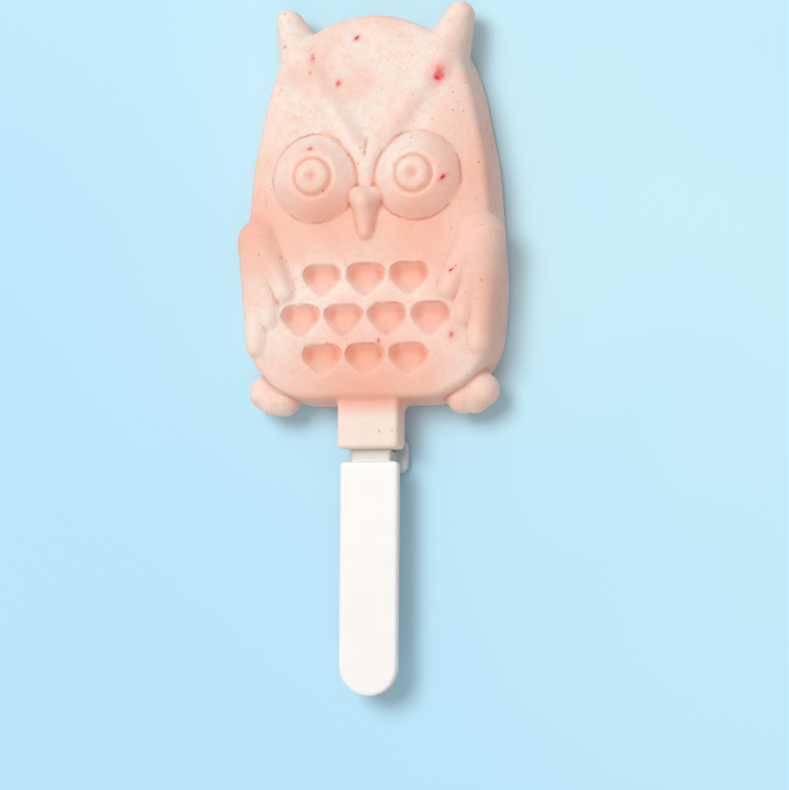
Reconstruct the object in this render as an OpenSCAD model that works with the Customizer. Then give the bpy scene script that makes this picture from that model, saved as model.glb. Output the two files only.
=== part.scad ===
// A frozen fruit-yoghurt pop, moulded as an owl, on its reusable plastic stick.
// The pop lies on its flat back: +X is the owl's left, +Y the top of its head, +Z its front.
// Lengths are in millimetres. Heights along Y are counted from the body's bottom edge,
// and the whole model is then shifted so that its box is centred on the origin.

/* [Frozen body] */
// Width of the body at its widest line
body_w = 64; // [56:0.5:74]
// Height of the body from its bottom edge to its crown
body_h = 94; // [88:0.5:110]
// Depth of the body from its flat back to the highest part of its front
body_d = 15; // [13:0.5:19]
// Height of the widest line above the bottom edge
widest_y = 28; // [23:0.5:33]
// Radius of each flank at the widest line
flank_r = 22; // [18:0.5:25]
// Width across the two bottom corners
base_w = 62.5; // [53:0.5:72]
// Radius of the bottom corners
corner_r = 18; // [15:0.5:21]
// Width of the chest
chest_w = 60; // [52:0.2:68]
// Height of the chest line above the bottom edge
chest_y = 52; // [44:0.5:60]
// Width across the shoulders of the head
shoulder_w = 51; // [44:0.5:58]
// Radius of those shoulders
shoulder_r = 18.5; // [16:0.5:20]
// How far the shoulders' centres lie below the crown
shoulder_drop = 21; // [19:0.5:24]
// Radius of the crown
crown_r = 27; // [23:0.5:31]
// Rounding of the edge round the back
back_edge_r = 2; // [1:0.1:3]
// Rounding of the edge round the front
front_edge_r = 2.2; // [1.6:0.1:3.6]
// How far the sides lean in on their way to the front
draft = 1; // [0.4:0.1:2]
// How far the middle of the front swells above the start of its rounded edge
front_swell = 1; // [0.4:0.1:2]
// Width of the sloping rim of that swell
swell_w = 9; // [6:0.5:10]

/* [Head] */
// Radius of an eye dome where it meets the face
eye_r = 10.8; // [8.5:0.1:12]
// How far an eye dome stands above the front
eye_rise = 4.6; // [3:0.1:6]
// Distance between the middles of the two eyes
eye_spread = 24.6; // [22:0.2:30]
// How far the eyes lie below the crown
eye_drop = 40.5; // [36:0.5:44]
// Radius of the ring groove on an eye, along its middle
ring_r = 4.6; // [4:0.1:5.6]
// Width of that groove
ring_w = 1.7; // [1.3:0.1:2]
// Depth of that groove
ring_depth = 0.6; // [0.4:0.1:0.8]
// Radius of the dimple in the middle of an eye
pupil_r = 1.9; // [1.4:0.1:2.4]
// Depth of that dimple
pupil_depth = 0.8; // [0.5:0.1:1.1]
// Length of the beak
beak_l = 11.4; // [9:0.2:14]
// Width of the beak at its root
beak_w = 7.8; // [6:0.2:9.6]
// How far the ridge of the beak stands above the front
beak_rise = 4; // [3:0.1:5]
// How far the root of the beak lies below the eyes' centre line
beak_drop = 2.8; // [1:0.2:6]
// Radius of the beak's rounded root
beak_root_r = 1.7; // [1.2:0.1:2.2]
// Radius of the beak's tip
beak_tip_r = 1.2; // [0.8:0.1:1.6]
// Radius of a brow ridge above the beak
brow_r = 1.9; // [1.4:0.1:2.4]
// How much thicker a brow ridge is where it leaves the eye
brow_growth = 0.8; // [0.4:0.1:1.4]
// How far the brow ridges stand above the front
brow_rise = 1.6; // [1:0.1:2.6]
// Radius of the bridge between the eyes where it meets the beak
bridge_r = 1.5; // [1:0.1:1.9]
// How far the tip of an ear tuft stands above the crown
tuft_rise = 2.1; // [1:0.1:4]
// Width over the tips of the two ear tufts
tuft_spread = 49; // [42:0.5:54]
// Width over the roots of the two ear tufts
tuft_root_spread = 46; // [40:0.2:50]
// How far the middle of a tuft's root lies below the crown
tuft_root_drop = 13; // [10:0.5:16]
// Radius of the tip of an ear tuft
tuft_tip_r = 3.2; // [2.4:0.1:4]
// Radius of the root of an ear tuft
tuft_root_r = 6.6; // [5.4:0.1:7.4]
// How far an ear tuft's tip bends back from the front
tuft_lean = 3; // [2:0.1:4]
// Depth of the straight part of an ear tuft's sides
tuft_side_d = 2; // [1:0.1:3]

/* [Wings, plumage and feet] */
// Width of a wing at its shoulder
wing_w = 12; // [9:0.2:14]
// Height of the top of a wing above the bottom edge
wing_top = 45; // [40:0.5:52]
// Length of a wing from its top to the tip of its longest feather
wing_l = 34; // [30:0.5:40]
// How far a wing stands above the front
wing_rise = 1.8; // [1:0.1:2.4]
// How far a wing stands out of the flank
wing_proud = 0.8; // [0.4:0.1:1.6]
// Width of one wing feather at its tip
wing_tip_w = 5.6; // [4.6:0.1:6.6]
// Distance across the wing between neighbouring feather tips
wing_tip_pitch = 3.5; // [3:0.1:4.2]
// How much shorter each next wing feather is, going inwards
wing_step = 6.4; // [5:0.1:7.6]
// How far the outermost feather's tip lies below the level of the wing's shoulder
wing_tip_sink = 1.2; // [0.6:0.1:1.8]
// Width of one hollow feather of the plumage
feather_w = 9.6; // [8:0.1:10.2]
// Height of one hollow feather
feather_h = 8.4; // [7.2:0.1:9]
// Depth of one hollow feather at its upper edge
feather_depth = 2; // [1.2:0.1:2.6]
// How much shallower a feather is at its tip
feather_tilt = 0.9; // [0.2:0.1:1]
// Radius of a feather's corners
feather_r = 2.7; // [2.4:0.1:3.4]
// Distance between neighbouring feathers in a row
feather_pitch = 10.6; // [10.4:0.1:12]
// Distance between the rows
row_pitch = 9.5; // [9.2:0.1:11]
// Height of the lowest row above the bottom edge
row_y = 9.8; // [8:0.2:12]
// Feathers in each row, from the lowest row up
row_counts = [3, 4, 3]; // rows of 1 to 4 feathers
// Distance between the middles of the two feet
foot_spread = 46; // [40:0.5:50]
// How far the feet reach below the bottom edge
toe_reach = 2.6; // [1:0.1:4]
// Radius of a toe
toe_r = 4.2; // [3.4:0.1:4.8]
// Angle between neighbouring toes
toe_fan = 32; // [22:1:38]
// Angle by which the middle toe points outwards
toe_out = 20; // [12:1:26]
// Length of a toe
toe_l = 13; // [11:0.2:15]
// Height of the middle of the feet above the back
toe_z = 7; // [5.6:0.1:8]

/* [Frozen neck] */
// Width of the neck
neck_w = 15.2; // [13:0.2:18]
// Depth of the neck
neck_d = 7.8; // [6.6:0.1:9.2]
// Length of the neck below the bottom edge
neck_l = 10.6; // [8:0.2:14]
// Rounding of the neck's edges
neck_edge_r = 1.3; // [0.8:0.1:1.8]
// How far the fillet between neck and body spreads to each side
neck_fillet = 1.6; // [1:0.1:2.4]
// How far the neck lies in front of the body's mid-depth
neck_offset = 1.2; // [0.8:0.1:1.6]

/* [Stick] */
// Gap between the frozen neck and the top of the handle
lip_gap = 2.9; // [2:0.1:4]
// Width of the handle
handle_w = 14.1; // [11:0.1:17]
// Thickness of the handle
handle_t = 2.8; // [2:0.1:4]
// Length of the handle from the gap to its rounded end
handle_l = 55; // [45:1:75]
// How far the handle's face lies behind the neck's face
handle_setback = 2; // [1.4:0.1:2.8]
// Rounding of the stick's long edges
stick_edge_r = 0.6; // [0.3:0.1:0.9]
// Radius of the handle's upper corners
handle_corner_r = 1; // [0.6:0.1:2]
// Width of the blade in the ice
blade_w = 9.4; // [7:0.1:11]
// Thickness of the blade
blade_t = 2.6; // [2.2:0.1:3.4]
// How far the blade reaches into the body above its bottom edge
blade_reach = 46; // [36:1:60]
// Radius of the hole in the blade that the ice keys into
key_hole_r = 2.1; // [1.5:0.1:2.6]
// How far that hole lies below the blade's end
key_hole_drop = 9; // [7:0.2:12]
// Width of the guard tab behind the neck
guard_w = 14.8; // [12:0.1:17]
// Height of the guard tab
guard_h = 8; // [6.6:0.1:10]
// Thickness of the guard tab
guard_t = 2; // [1.4:0.1:2.6]
// Radius of the guard tab's corners
guard_corner_r = 2; // [1:0.1:2.6]
// How far the guard tab reaches up behind the neck
guard_lap = 2.8; // [2:0.1:4]
// How far the web behind the handle reaches down from the handle's top
web_reach = 5; // [3:0.5:9]
// How far the guard tab lies behind the back of the neck
guard_setback = 2.2; // [1.8:0.1:2.6]
// Space between the top of that web and the frozen neck
web_clearance = 0.3; // [0.1:0.05:0.6]
// Space between the ice and the blade that it froze round
ice_clearance = 0.03; // [0.02:0.01:0.1]

/* [Hidden] */
$fn = 22;
outline_fn = 60;
dome_fn = 40;
groove_fn = 8;
neck_fn = 12;
edge_fn = 32;
slice_t = 0.01;
overshoot = 1;
ice_colour = "#fbd9c8";
plastic_colour = "#f7f8f4";

mid_z = body_d / 2;
neck_z = mid_z + neck_offset;
eye_y = body_h - eye_drop;
eye_x = eye_spread / 2;
shoulder_y = body_h - shoulder_drop;
handle_top_y = -neck_l - lip_gap;
web_low_y = handle_top_y - web_reach;
stick_end_y = handle_top_y - handle_l;
tuft_tip_y = body_h + tuft_rise - tuft_tip_r;
origin_y = (body_h + tuft_rise + stick_end_y) / 2;

// The outline is the shape that a band stretched round these circles takes: [x, y, radius]
outline_circles = [
    [base_w / 2 - corner_r, corner_r, corner_r],
    [body_w / 2 - flank_r, widest_y, flank_r],
    [0, chest_y, chest_w / 2],
    [shoulder_w / 2 - shoulder_r, shoulder_y, shoulder_r],
    [0, body_h - crown_r, crown_r]
];

// The body's section from its back to its front: [how far in from the outline, height]
swell_start = draft + front_edge_r;
side_top_z = body_d - front_swell - front_edge_r;
edge_profile = concat(
    [for (a = [0 : 22.5 : 90]) [back_edge_r * (1 - sin(a)), back_edge_r * (1 - cos(a))]],
    [for (a = [0 : 15 : 75]) [draft + front_edge_r * (1 - cos(a)), side_top_z + front_edge_r * sin(a)]],
    [for (t = [0.25 : 0.25 : 1]) [swell_start + swell_w * t, body_d - front_swell * pow(1 - t, 2)]]
);

module both_sides() {
    children();
    mirror([1, 0, 0]) children();
}

// A smooth swelling between two balls, each [x, y, z, radius]
module swelling(a, b) {
    hull() {
        translate([a[0], a[1], a[2]]) sphere(a[3]);
        translate([b[0], b[1], b[2]]) sphere(b[3]);
    }
}

// One thin level of the body, drawn in from the outline
module body_level(inset, z) {
    for (c = outline_circles)
        both_sides()
            translate([c[0], c[1], z])
                cylinder(h = slice_t, r = c[2] - inset, $fn = outline_fn);
}

module body_slab() {
    hull()
        for (level = edge_profile)
            body_level(level[0], min(level[1], body_d - slice_t));
}

// Radius of the ball of which a dome or dent of a given radius and height is the cap
function cap_ball_r(r, h) = (pow(r, 2) + pow(h, 2)) / (2 * h);

// An eye is the top of a ball that is cut off where its dome meets the face
eye_sink = 0.4;
eye_top_z = body_d + eye_rise;
eye_ball_r = cap_ball_r(eye_r, eye_rise + eye_sink);
eye_ball_z = eye_top_z - eye_ball_r;

module eye() {
    translate([eye_x, eye_y, 0])
        intersection() {
            translate([0, 0, eye_ball_z]) sphere(eye_ball_r, $fn = dome_fn);
            translate([0, 0, mid_z]) cylinder(h = body_d, r = eye_r, $fn = dome_fn);
        }
}

// The ring groove is cut square to the dome, and the dimple marks its middle
module eye_marks() {
    tube_r = cap_ball_r(ring_w / 2, ring_depth);
    ring_angle = asin(ring_r / eye_ball_r);
    ring_reach = eye_ball_r + tube_r - ring_depth;
    pupil_ball_r = cap_ball_r(pupil_r, pupil_depth);
    translate([eye_x, eye_y, eye_ball_z])
        rotate_extrude($fn = dome_fn)
            translate([ring_reach * sin(ring_angle), ring_reach * cos(ring_angle)])
                circle(tube_r, $fn = groove_fn);
    translate([eye_x, eye_y, eye_top_z + pupil_ball_r - pupil_depth]) sphere(pupil_ball_r);
}

beak_root_y = eye_y - beak_drop - beak_root_r;

module beak() {
    hull() {
        both_sides()
            translate([beak_w / 2 - beak_root_r, beak_root_y, body_d - beak_root_r / 3]) sphere(beak_root_r);
        translate([0, beak_root_y - beak_l / 8, body_d + beak_rise - beak_root_r]) sphere(beak_root_r);
        translate([0, eye_y - beak_drop - beak_l + beak_tip_r, body_d]) sphere(beak_tip_r);
    }
}

// A brow starts at the beak, follows the inner side of the eye and runs on to the ear tuft
brow_start = 166;
brow_turn = 15.5;
brow_offset = 0.7;
brow_points = [
    for (k = [0 : 2])
        let (
            a = brow_start - brow_turn * k,
            r = brow_r + brow_growth * k / 2,
            path_r = eye_r + brow_r * brow_offset
        )
        [eye_x + path_r * cos(a), eye_y + path_r * sin(a), body_d + brow_rise - r, r]
];
tuft_root = [
    tuft_root_spread / 2 - tuft_root_r,
    body_h - tuft_root_drop,
    body_d + brow_rise / 2 - tuft_root_r,
    tuft_root_r
];
tuft_tip = [tuft_spread / 2 - tuft_tip_r, tuft_tip_y, body_d - tuft_lean - tuft_tip_r, tuft_tip_r];

module brow() {
    swelling([0, beak_root_y, body_d + brow_rise / 2 - bridge_r, bridge_r], brow_points[0]);
    swelling(brow_points[0], brow_points[1]);
    swelling(brow_points[1], brow_points[2]);
    swelling(brow_points[2], tuft_root);
}

module tuft() {
    hull()
        for (ball = [tuft_root, tuft_tip])
            for (z = [ball[2], ball[2] - tuft_side_d])
                translate([ball[0], ball[1], z]) sphere(ball[3]);
}

// Three long feathers fan out of one wing shoulder, each shorter than the one outside it
wing_shoulder_r = wing_w / 2;
wing_tip_r = wing_tip_w / 2;
wing_shoulder = [
    body_w / 2 + wing_proud - wing_shoulder_r,
    wing_top - wing_shoulder_r,
    body_d + wing_rise - wing_shoulder_r,
    wing_shoulder_r
];

module wing() {
    outer_tip_x = wing_shoulder[0] + wing_shoulder_r - wing_tip_w;
    for (k = [0 : 2])
        swelling(wing_shoulder, [
            outer_tip_x - wing_tip_pitch * k,
            wing_top - wing_l + wing_tip_r + wing_step * k,
            body_d + wing_rise - wing_tip_sink * (1 - k / 2) - wing_tip_r,
            wing_tip_r
        ]);
}

// A hollow shield with two upper corners and one round tip
module feather_hollow() {
    ball_r = cap_ball_r(feather_r, feather_depth);
    ball_z = body_d - feather_depth + ball_r;
    corner_x = feather_w / 2 - feather_r;
    corner_y = feather_h / 2 - feather_r;
    hull() {
        both_sides() translate([corner_x, corner_y, ball_z]) sphere(ball_r);
        translate([0, -corner_y, ball_z + feather_tilt]) sphere(ball_r);
    }
}

module plumage() {
    for (row = [0 : len(row_counts) - 1])
        for (k = [0 : row_counts[row] - 1])
            translate([
                (k - (row_counts[row] - 1) / 2) * feather_pitch,
                row_y + row * row_pitch,
                0
            ])
                feather_hollow();
}

module foot() {
    heel_y = toe_l - toe_r - toe_reach;
    reach = toe_l - 2 * toe_r;
    for (k = [-1 : 1])
        let (a = toe_out + toe_fan * k)
        swelling(
            [foot_spread / 2, heel_y, toe_z, toe_r],
            [foot_spread / 2 + reach * sin(a), heel_y - reach * cos(a), toe_z, toe_r]
        );
}

// A block as deep as the neck, with the neck's rounded edges
module rounded_block(w, y_low, y_high) {
    r = neck_edge_r;
    hull()
        both_sides()
            for (y = [y_low + r, y_high - r])
                for (z = [neck_z - neck_d / 2 + r, neck_z + neck_d / 2 - r])
                    translate([w / 2 - r, y, z]) sphere(r, $fn = neck_fn);
}

module neck() {
    root_h = 2 * neck_edge_r;
    rounded_block(neck_w, -neck_l, root_h);
    hull() {
        rounded_block(neck_w, -neck_fillet, root_h);
        rounded_block(neck_w + 2 * neck_fillet, 0, root_h);
    }
}

// The blade with its round end and key hole, larger by a clearance where it is cut from the ice
module blade(grow) {
    end_r = blade_w / 2 + grow;
    end_y = blade_reach - blade_w / 2;
    t = blade_t + 2 * grow;
    translate([0, 0, mid_z - t / 2])
        difference() {
            union() {
                translate([-end_r, web_low_y, 0]) cube([2 * end_r, end_y - web_low_y, t]);
                translate([0, end_y, 0]) cylinder(h = t, r = end_r, $fn = outline_fn);
            }
            translate([0, blade_reach - key_hole_drop, -overshoot])
                cylinder(h = t + 2 * overshoot, r = key_hole_r - grow, $fn = dome_fn);
        }
}

// Everything below the level of the flat back
module below_back() {
    room = 2 * body_h;
    translate([-room / 2, -room / 2, -room]) cube([room, 2 * room, room]);
}

module frozen_pop() {
    color(ice_colour)
        translate([0, -origin_y, 0])
            difference() {
                union() {
                    body_slab();
                    both_sides() {
                        eye();
                        brow();
                        tuft();
                        wing();
                        foot();
                    }
                    beak();
                    neck();
                }
                both_sides() eye_marks();
                plumage();
                blade(ice_clearance);
                below_back();
            }
}

module rounded_plate(w, y_low, y_high, t, r) {
    for (x = [-w / 2 + r, w / 2 - r])
        for (y = [y_low + r, y_high - r])
            translate([x, y, 0]) cylinder(h = t, r = r, $fn = edge_fn);
    translate([-w / 2 + r, y_low, 0]) cube([w - 2 * r, y_high - y_low, t]);
    translate([-w / 2, y_low + r, 0]) cube([w, y_high - y_low - 2 * r, t]);
}

handle_face_z = neck_z + neck_d / 2 - handle_setback;
handle_back_z = handle_face_z - handle_t;
guard_face_z = neck_z - neck_d / 2 - guard_setback;
guard_top_y = -neck_l + guard_lap;

// The handle: a plate with a round lower end and two small upper corners
module handle() {
    end_r = handle_w / 2;
    intersection() {
        translate([0, 0, handle_back_z]) {
            translate([0, stick_end_y + end_r, 0]) cylinder(h = handle_t, r = end_r, $fn = outline_fn);
            rounded_plate(
                handle_w, stick_end_y + end_r - handle_corner_r, handle_top_y, handle_t, handle_corner_r
            );
        }
        translate([0, stick_end_y - overshoot, handle_back_z])
            rotate([90, 0, 0])
                mirror([0, 0, 1])
                    long_edges(handle_w, handle_t, handle_l + 2 * overshoot);
    }
}

// A bar that gives the plate its rounded long edges
module long_edges(w, t, l) {
    rounded_plate(w, 0, t, l, stick_edge_r);
}

// The web that joins handle, blade and guard tab; the mould's lip sits in the groove round it
module web() {
    translate([-blade_w / 2, web_low_y, guard_face_z - guard_t / 2])
        cube([blade_w, -neck_l - web_clearance - web_low_y, mid_z - guard_face_z + guard_t / 2]);
}

module stick() {
    color(plastic_colour)
        translate([0, -origin_y, 0]) {
            handle();
            blade(0);
            web();
            translate([0, 0, guard_face_z - guard_t])
                rounded_plate(guard_w, guard_top_y - guard_h, guard_top_y, guard_t, guard_corner_r);
        }
}

frozen_pop();
stick();
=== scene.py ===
# %% [markdown]
# # A frozen fruit-yoghurt pop on its plastic stick
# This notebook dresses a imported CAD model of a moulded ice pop, shaped as an owl, on a white
# plastic stick. The CAD model fixes the sizes. Blender gives the ice its soft edges, its fruit
# and its frosty skin, and gives the stick its moulded corners.
# A cell that starts with the word markdown explains a step. The cell after it does the step and
# prints what it made, so a reader can run one cell at a time and see what changed.

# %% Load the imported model
import math

import bmesh
import bpy
import numpy as np
from mathutils import Matrix, Vector, geometry, noise


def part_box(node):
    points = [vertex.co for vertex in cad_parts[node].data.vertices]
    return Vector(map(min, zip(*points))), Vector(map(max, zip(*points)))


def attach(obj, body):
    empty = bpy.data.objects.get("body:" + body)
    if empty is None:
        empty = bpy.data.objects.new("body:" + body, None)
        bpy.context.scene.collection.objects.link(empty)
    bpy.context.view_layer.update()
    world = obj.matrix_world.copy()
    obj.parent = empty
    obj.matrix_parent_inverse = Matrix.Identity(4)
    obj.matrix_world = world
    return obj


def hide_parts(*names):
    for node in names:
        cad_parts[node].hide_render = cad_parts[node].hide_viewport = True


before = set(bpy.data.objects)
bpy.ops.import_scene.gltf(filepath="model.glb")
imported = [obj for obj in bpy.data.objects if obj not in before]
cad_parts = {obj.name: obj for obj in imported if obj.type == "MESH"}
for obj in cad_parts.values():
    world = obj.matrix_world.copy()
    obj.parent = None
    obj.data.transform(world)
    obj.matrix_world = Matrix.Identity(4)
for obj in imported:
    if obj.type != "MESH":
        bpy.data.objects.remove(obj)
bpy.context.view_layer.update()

MM = 0.001

# %% [markdown]
# ## The camera first
# The pop lies on its back, so the camera looks down on it, turned a little towards the owl's left
# side and a touch towards its feet. Making the camera first means that every later render can be
# set beside the photograph. The photograph's scale is known in millimetres a pixel, so the frame's
# real width follows, and from it the lens. The camera aims by the middle of the owl's face, given
# from the body's lower edge, which lies one neck's length above the pop's lowest point.

# %% Camera
PHOTO_SIZE = (789, 790)
PHOTO_MM_PER_PIXEL = 0.2353
CAMERA_DISTANCE = 0.65
CAMERA_YAW = math.radians(15)
CAMERA_PITCH = math.radians(-5)
CAMERA_ROLL = math.radians(0.4)
SENSOR_MM = 36
FACE_MIDDLE_PIXEL = (365, 284)
FACE_UP, FACE_LEVEL = 28, 15
NECK_L = 10.6


def look_axes(yaw, pitch, roll):
    """Right, up and backward axes of a camera that looks down on the pop."""
    back = Vector((math.sin(yaw) * math.cos(pitch), math.sin(pitch), math.cos(yaw) * math.cos(pitch)))
    up = (Vector((0, 1, 0)) - back * back.y).normalized()
    right = up.cross(back)
    turn = Matrix.Rotation(roll, 3, back)
    return turn @ right, turn @ up, back


pop_low, pop_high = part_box("frozen_pop")
BODY_BOTTOM_Y = pop_low[1] + NECK_L * MM
face_point = Vector((0, BODY_BOTTOM_Y + FACE_UP * MM, FACE_LEVEL * MM))
right, up, back = look_axes(CAMERA_YAW, CAMERA_PITCH, CAMERA_ROLL)
metres_per_pixel = PHOTO_MM_PER_PIXEL * MM
aim = face_point + right * (PHOTO_SIZE[0] / 2 - FACE_MIDDLE_PIXEL[0]) * metres_per_pixel
aim = aim + up * (FACE_MIDDLE_PIXEL[1] - PHOTO_SIZE[1] / 2) * metres_per_pixel

camera = bpy.data.objects.new("camera", bpy.data.cameras.new("camera"))
bpy.context.scene.collection.objects.link(camera)
camera.rotation_mode = "QUATERNION"
camera.rotation_quaternion = Matrix((right, up, back)).transposed().to_quaternion()
camera.location = aim + back * CAMERA_DISTANCE
camera.data.sensor_width = SENSOR_MM
camera.data.lens = SENSOR_MM * CAMERA_DISTANCE / (max(PHOTO_SIZE) * metres_per_pixel)
camera.data.clip_start = 0.01
camera.data.clip_end = 10
bpy.context.scene.camera = camera
print("lens in mm:", round(camera.data.lens, 1))

# %% [markdown]
# ## How to sculpt ice with a formula
# The moulded body could be modelled face by face, but its forms melt into each other, and a
# hand-made mesh would need hundreds of small fillets. Instead the pop is described as a field:
# at every point of space a number says how far away its skin is, negative inside. Simple forms
# have simple fields. Two fields join with a soft minimum, which leaves the small round crease
# that ice has where one form leaves another. The next cells make the tools for that.

# %% Forms as distances
def swelling(at, a, b):
    """Distance to the smooth form between two balls, each (x, y, z, radius)."""
    run = np.subtract(b[:3], a[:3])
    run_2 = run @ run
    taper = a[3] - b[3]
    slant_2 = run_2 - taper * taper
    from_a = [at[i] - a[i] for i in range(3)]
    along = sum(from_a[i] * run[i] for i in range(3))
    past = along - run_2
    beside_2 = run_2 * (run_2 * sum(c * c for c in from_a) - along * along)
    edge = np.sign(taper) * taper * taper * beside_2
    round_a = np.sqrt(beside_2 + along * along * run_2) / run_2 - a[3]
    round_b = np.sqrt(beside_2 + past * past * run_2) / run_2 - b[3]
    flank = (np.sqrt(beside_2 * slant_2 / run_2) + along * taper) / run_2 - a[3]
    beyond_b = np.sign(past) * slant_2 * past * past * run_2 > edge
    before_a = np.sign(along) * slant_2 * along * along * run_2 < edge
    return np.where(beyond_b, round_b, np.where(before_a, round_a, flank))


def ball(at, centre, radius):
    """Distance to a ball."""
    return np.sqrt(sum((at[i] - centre[i]) ** 2 for i in range(3))) - radius


def rounded_box(at, centre, size, radius):
    """Distance to a box with all its edges rounded."""
    out = [np.abs(at[i] - centre[i]) - (size[i] / 2 - radius) for i in range(3)]
    outside = np.sqrt(sum(np.maximum(c, 0) ** 2 for c in out))
    inside = np.minimum(np.maximum(out[0], np.maximum(out[1], out[2])), 0)
    return outside + inside - radius


def to_outline(across, along, outline):
    """Distance in a plane to a convex outline whose corners run anticlockwise."""
    planes, nearest_2 = -np.inf, np.inf
    for (x0, y0), (x1, y1) in zip(outline, outline[1:] + outline[:1]):
        run_x, run_y = x1 - x0, y1 - y0
        dx, dy = across - x0, along - y0
        run_2 = run_x**2 + run_y**2
        share = np.clip((dx * run_x + dy * run_y) / run_2, 0, 1)
        nearest_2 = np.minimum(nearest_2, (dx - share * run_x) ** 2 + (dy - share * run_y) ** 2)
        planes = np.maximum(planes, (dx * run_y - dy * run_x) / math.sqrt(run_2))
    return np.where(planes > 0, np.sqrt(nearest_2), planes)


def joined(a, b, soft):
    """Both forms as one, with a crease about as round as soft."""
    share = np.clip(0.5 + 0.5 * (b - a) / soft, 0, 1)
    return b * (1 - share) + a * share - soft * share * (1 - share)


def carved(a, b, soft):
    """The first form with the second taken out of it."""
    return -joined(-a, b, soft)


def common(a, b, soft):
    """Only what both forms share."""
    return -joined(-a, -b, soft)


print("a ball of 2 mm seen from 5 mm away:", float(ball((5.0, 0, 0), (0, 0, 0), 2)))

# %% [markdown]
# ## From a field to a mesh
# The skin lies where the field is zero. Every small cell of the grid that the skin passes through
# gets one point, at the middle of the places where the skin cuts the cell's edges, and every cut
# edge joins the four cells round it with one quad. Blender's remesh modifier could do a like job,
# but then the forms would have to be meshes first, with creases too fine for it.

# %% Skin of a field
def neighbours_apart(field, axis):
    """The field's values at both ends of every grid edge that runs along an axis."""
    first = [slice(None)] * 3
    second = [slice(None)] * 3
    first[axis] = slice(None, -1)
    second[axis] = slice(1, None)
    return field[tuple(first)], field[tuple(second)]


def skin_of(field):
    """Points, in cells from the grid's corner, and quads of the surface where the field is zero."""
    cells = tuple(n - 1 for n in field.shape)
    count = np.zeros(math.prod(cells))
    total = np.zeros((3, math.prod(cells)))
    rounds = []
    for axis in range(3):
        a, b = neighbours_apart(field, axis)
        cut = np.argwhere((a < 0) != (b < 0))
        at_a, at_b = a[tuple(cut.T)], b[tuple(cut.T)]
        place = cut.astype(float)
        place[:, axis] += at_a / (at_a - at_b)
        u, v = np.eye(3, dtype=int)[[(axis + 1) % 3, (axis + 2) % 3]]
        ring = [np.ravel_multi_index((cut - step).T, cells) for step in (0 * u, u, u + v, v)]
        for cell in ring:
            count += np.bincount(cell, minlength=len(count))
            for i in range(3):
                total[i] += np.bincount(cell, weights=place[:, i], minlength=len(count))
        quads = np.stack(ring, axis=1)
        leaving = at_a < 0
        quads[~leaving] = quads[~leaving, ::-1]
        rounds.append(quads)
    used = count > 0
    number = np.cumsum(used) - 1
    return (total[:, used] / count[used]).T, number[np.concatenate(rounds)]


def read_field(field, points):
    """The field's value at points between the grid's corners."""
    base = np.minimum(points.astype(int), np.subtract(field.shape, 2))
    share = points - base
    value = 0
    for corner in np.ndindex(2, 2, 2):
        weight = np.prod(np.where(corner, share, 1 - share), axis=1)
        value = value + weight * field[tuple((base + corner).T)]
    return value


def mesh_piece(name, points_mm, quads):
    """A smooth-shaded object from points in millimetres."""
    mesh = bpy.data.meshes.new(name)
    mesh.from_pydata((points_mm * MM).tolist(), [], quads.tolist())
    mesh.shade_smooth()
    piece = bpy.data.objects.new(name, mesh)
    bpy.context.scene.collection.objects.link(piece)
    return piece


print("tools for fields and skins are ready")

# %% [markdown]
# ## The body
# The real body is cast in a rubber mould: a flat back, sides that lean in a little so that it
# slips out, and a softly swollen front. Its outline is what a rubber band makes round eight
# circles. Inside the outline the thickness only depends on how far in a point lies, so the whole
# slab needs two flat distances: one to the outline, and one to the section.

# %% Body
BODY_D = 15.0
OUTLINE_CIRCLES = [(13.25, 18, 18), (10, 28, 22), (0, 52, 30), (7, 73, 18.5), (0, 67, 27)]
BACK_EDGE_R, FRONT_EDGE_R, DRAFT = 2.0, 2.2, 1.0
SWELL, SWELL_W = 1.0, 9.0
DEEP_INSIDE, INSET_STEP = 60.0, 0.05


def hull_of(points):
    """The corners of the band round some points, anticlockwise."""
    points = list(dict.fromkeys((round(x, 4), round(y, 4)) for x, y in points))
    ring = [points[i] for i in geometry.convex_hull_2d(points)]
    turned = sum(x0 * y1 - x1 * y0 for (x0, y0), (x1, y1) in zip(ring, ring[1:] + ring[:1]))
    return ring if turned > 0 else ring[::-1]


def arc(centre, radius, start, end, steps):
    """Points on an arc, with its angles in degrees."""
    angles = np.radians(np.linspace(start, end, steps))
    return [(centre[0] + radius * math.cos(a), centre[1] + radius * math.sin(a)) for a in angles]


circles = [(side, y, r) for x, y, r in OUTLINE_CIRCLES for side in (x, -x)]
OUTLINE = hull_of([p for x, y, r in circles for p in arc((x, y), r, 0, 356, 90)])
SIDE_TOP = BODY_D - SWELL - FRONT_EDGE_R
SWELL_START = DRAFT + FRONT_EDGE_R
SECTION = hull_of(
    arc((BACK_EDGE_R, BACK_EDGE_R), BACK_EDGE_R, 180, 270, 10)
    + arc((SWELL_START, SIDE_TOP), FRONT_EDGE_R, 90, 180, 14)
    + [(SWELL_START + SWELL_W * t, BODY_D - SWELL * (1 - t) ** 2) for t in np.linspace(0, 1, 9)]
    + [(DEEP_INSIDE, BODY_D), (DEEP_INSIDE, 0)]
)


def slab(x, y, z):
    """The plain body: x and y as columns of the grid, z as its levels."""
    inset = -to_outline(x, y, OUTLINE)[:, :, 0]
    insets = np.arange(inset.min() - 1, inset.max() + 1, INSET_STEP)
    by_level = to_outline(insets[:, None], z.ravel()[None, :], SECTION)
    return np.stack([np.interp(inset, insets, level) for level in by_level.T], axis=2)


print("outline corners:", len(OUTLINE), "section corners:", len(SECTION))

# %% [markdown]
# ## The owl's forms
# Every form stands in the same place as in the CAD model. The owl is the same on both sides, so
# one half is enough: the grid covers the right half, and the field is mirrored at the end.

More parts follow.
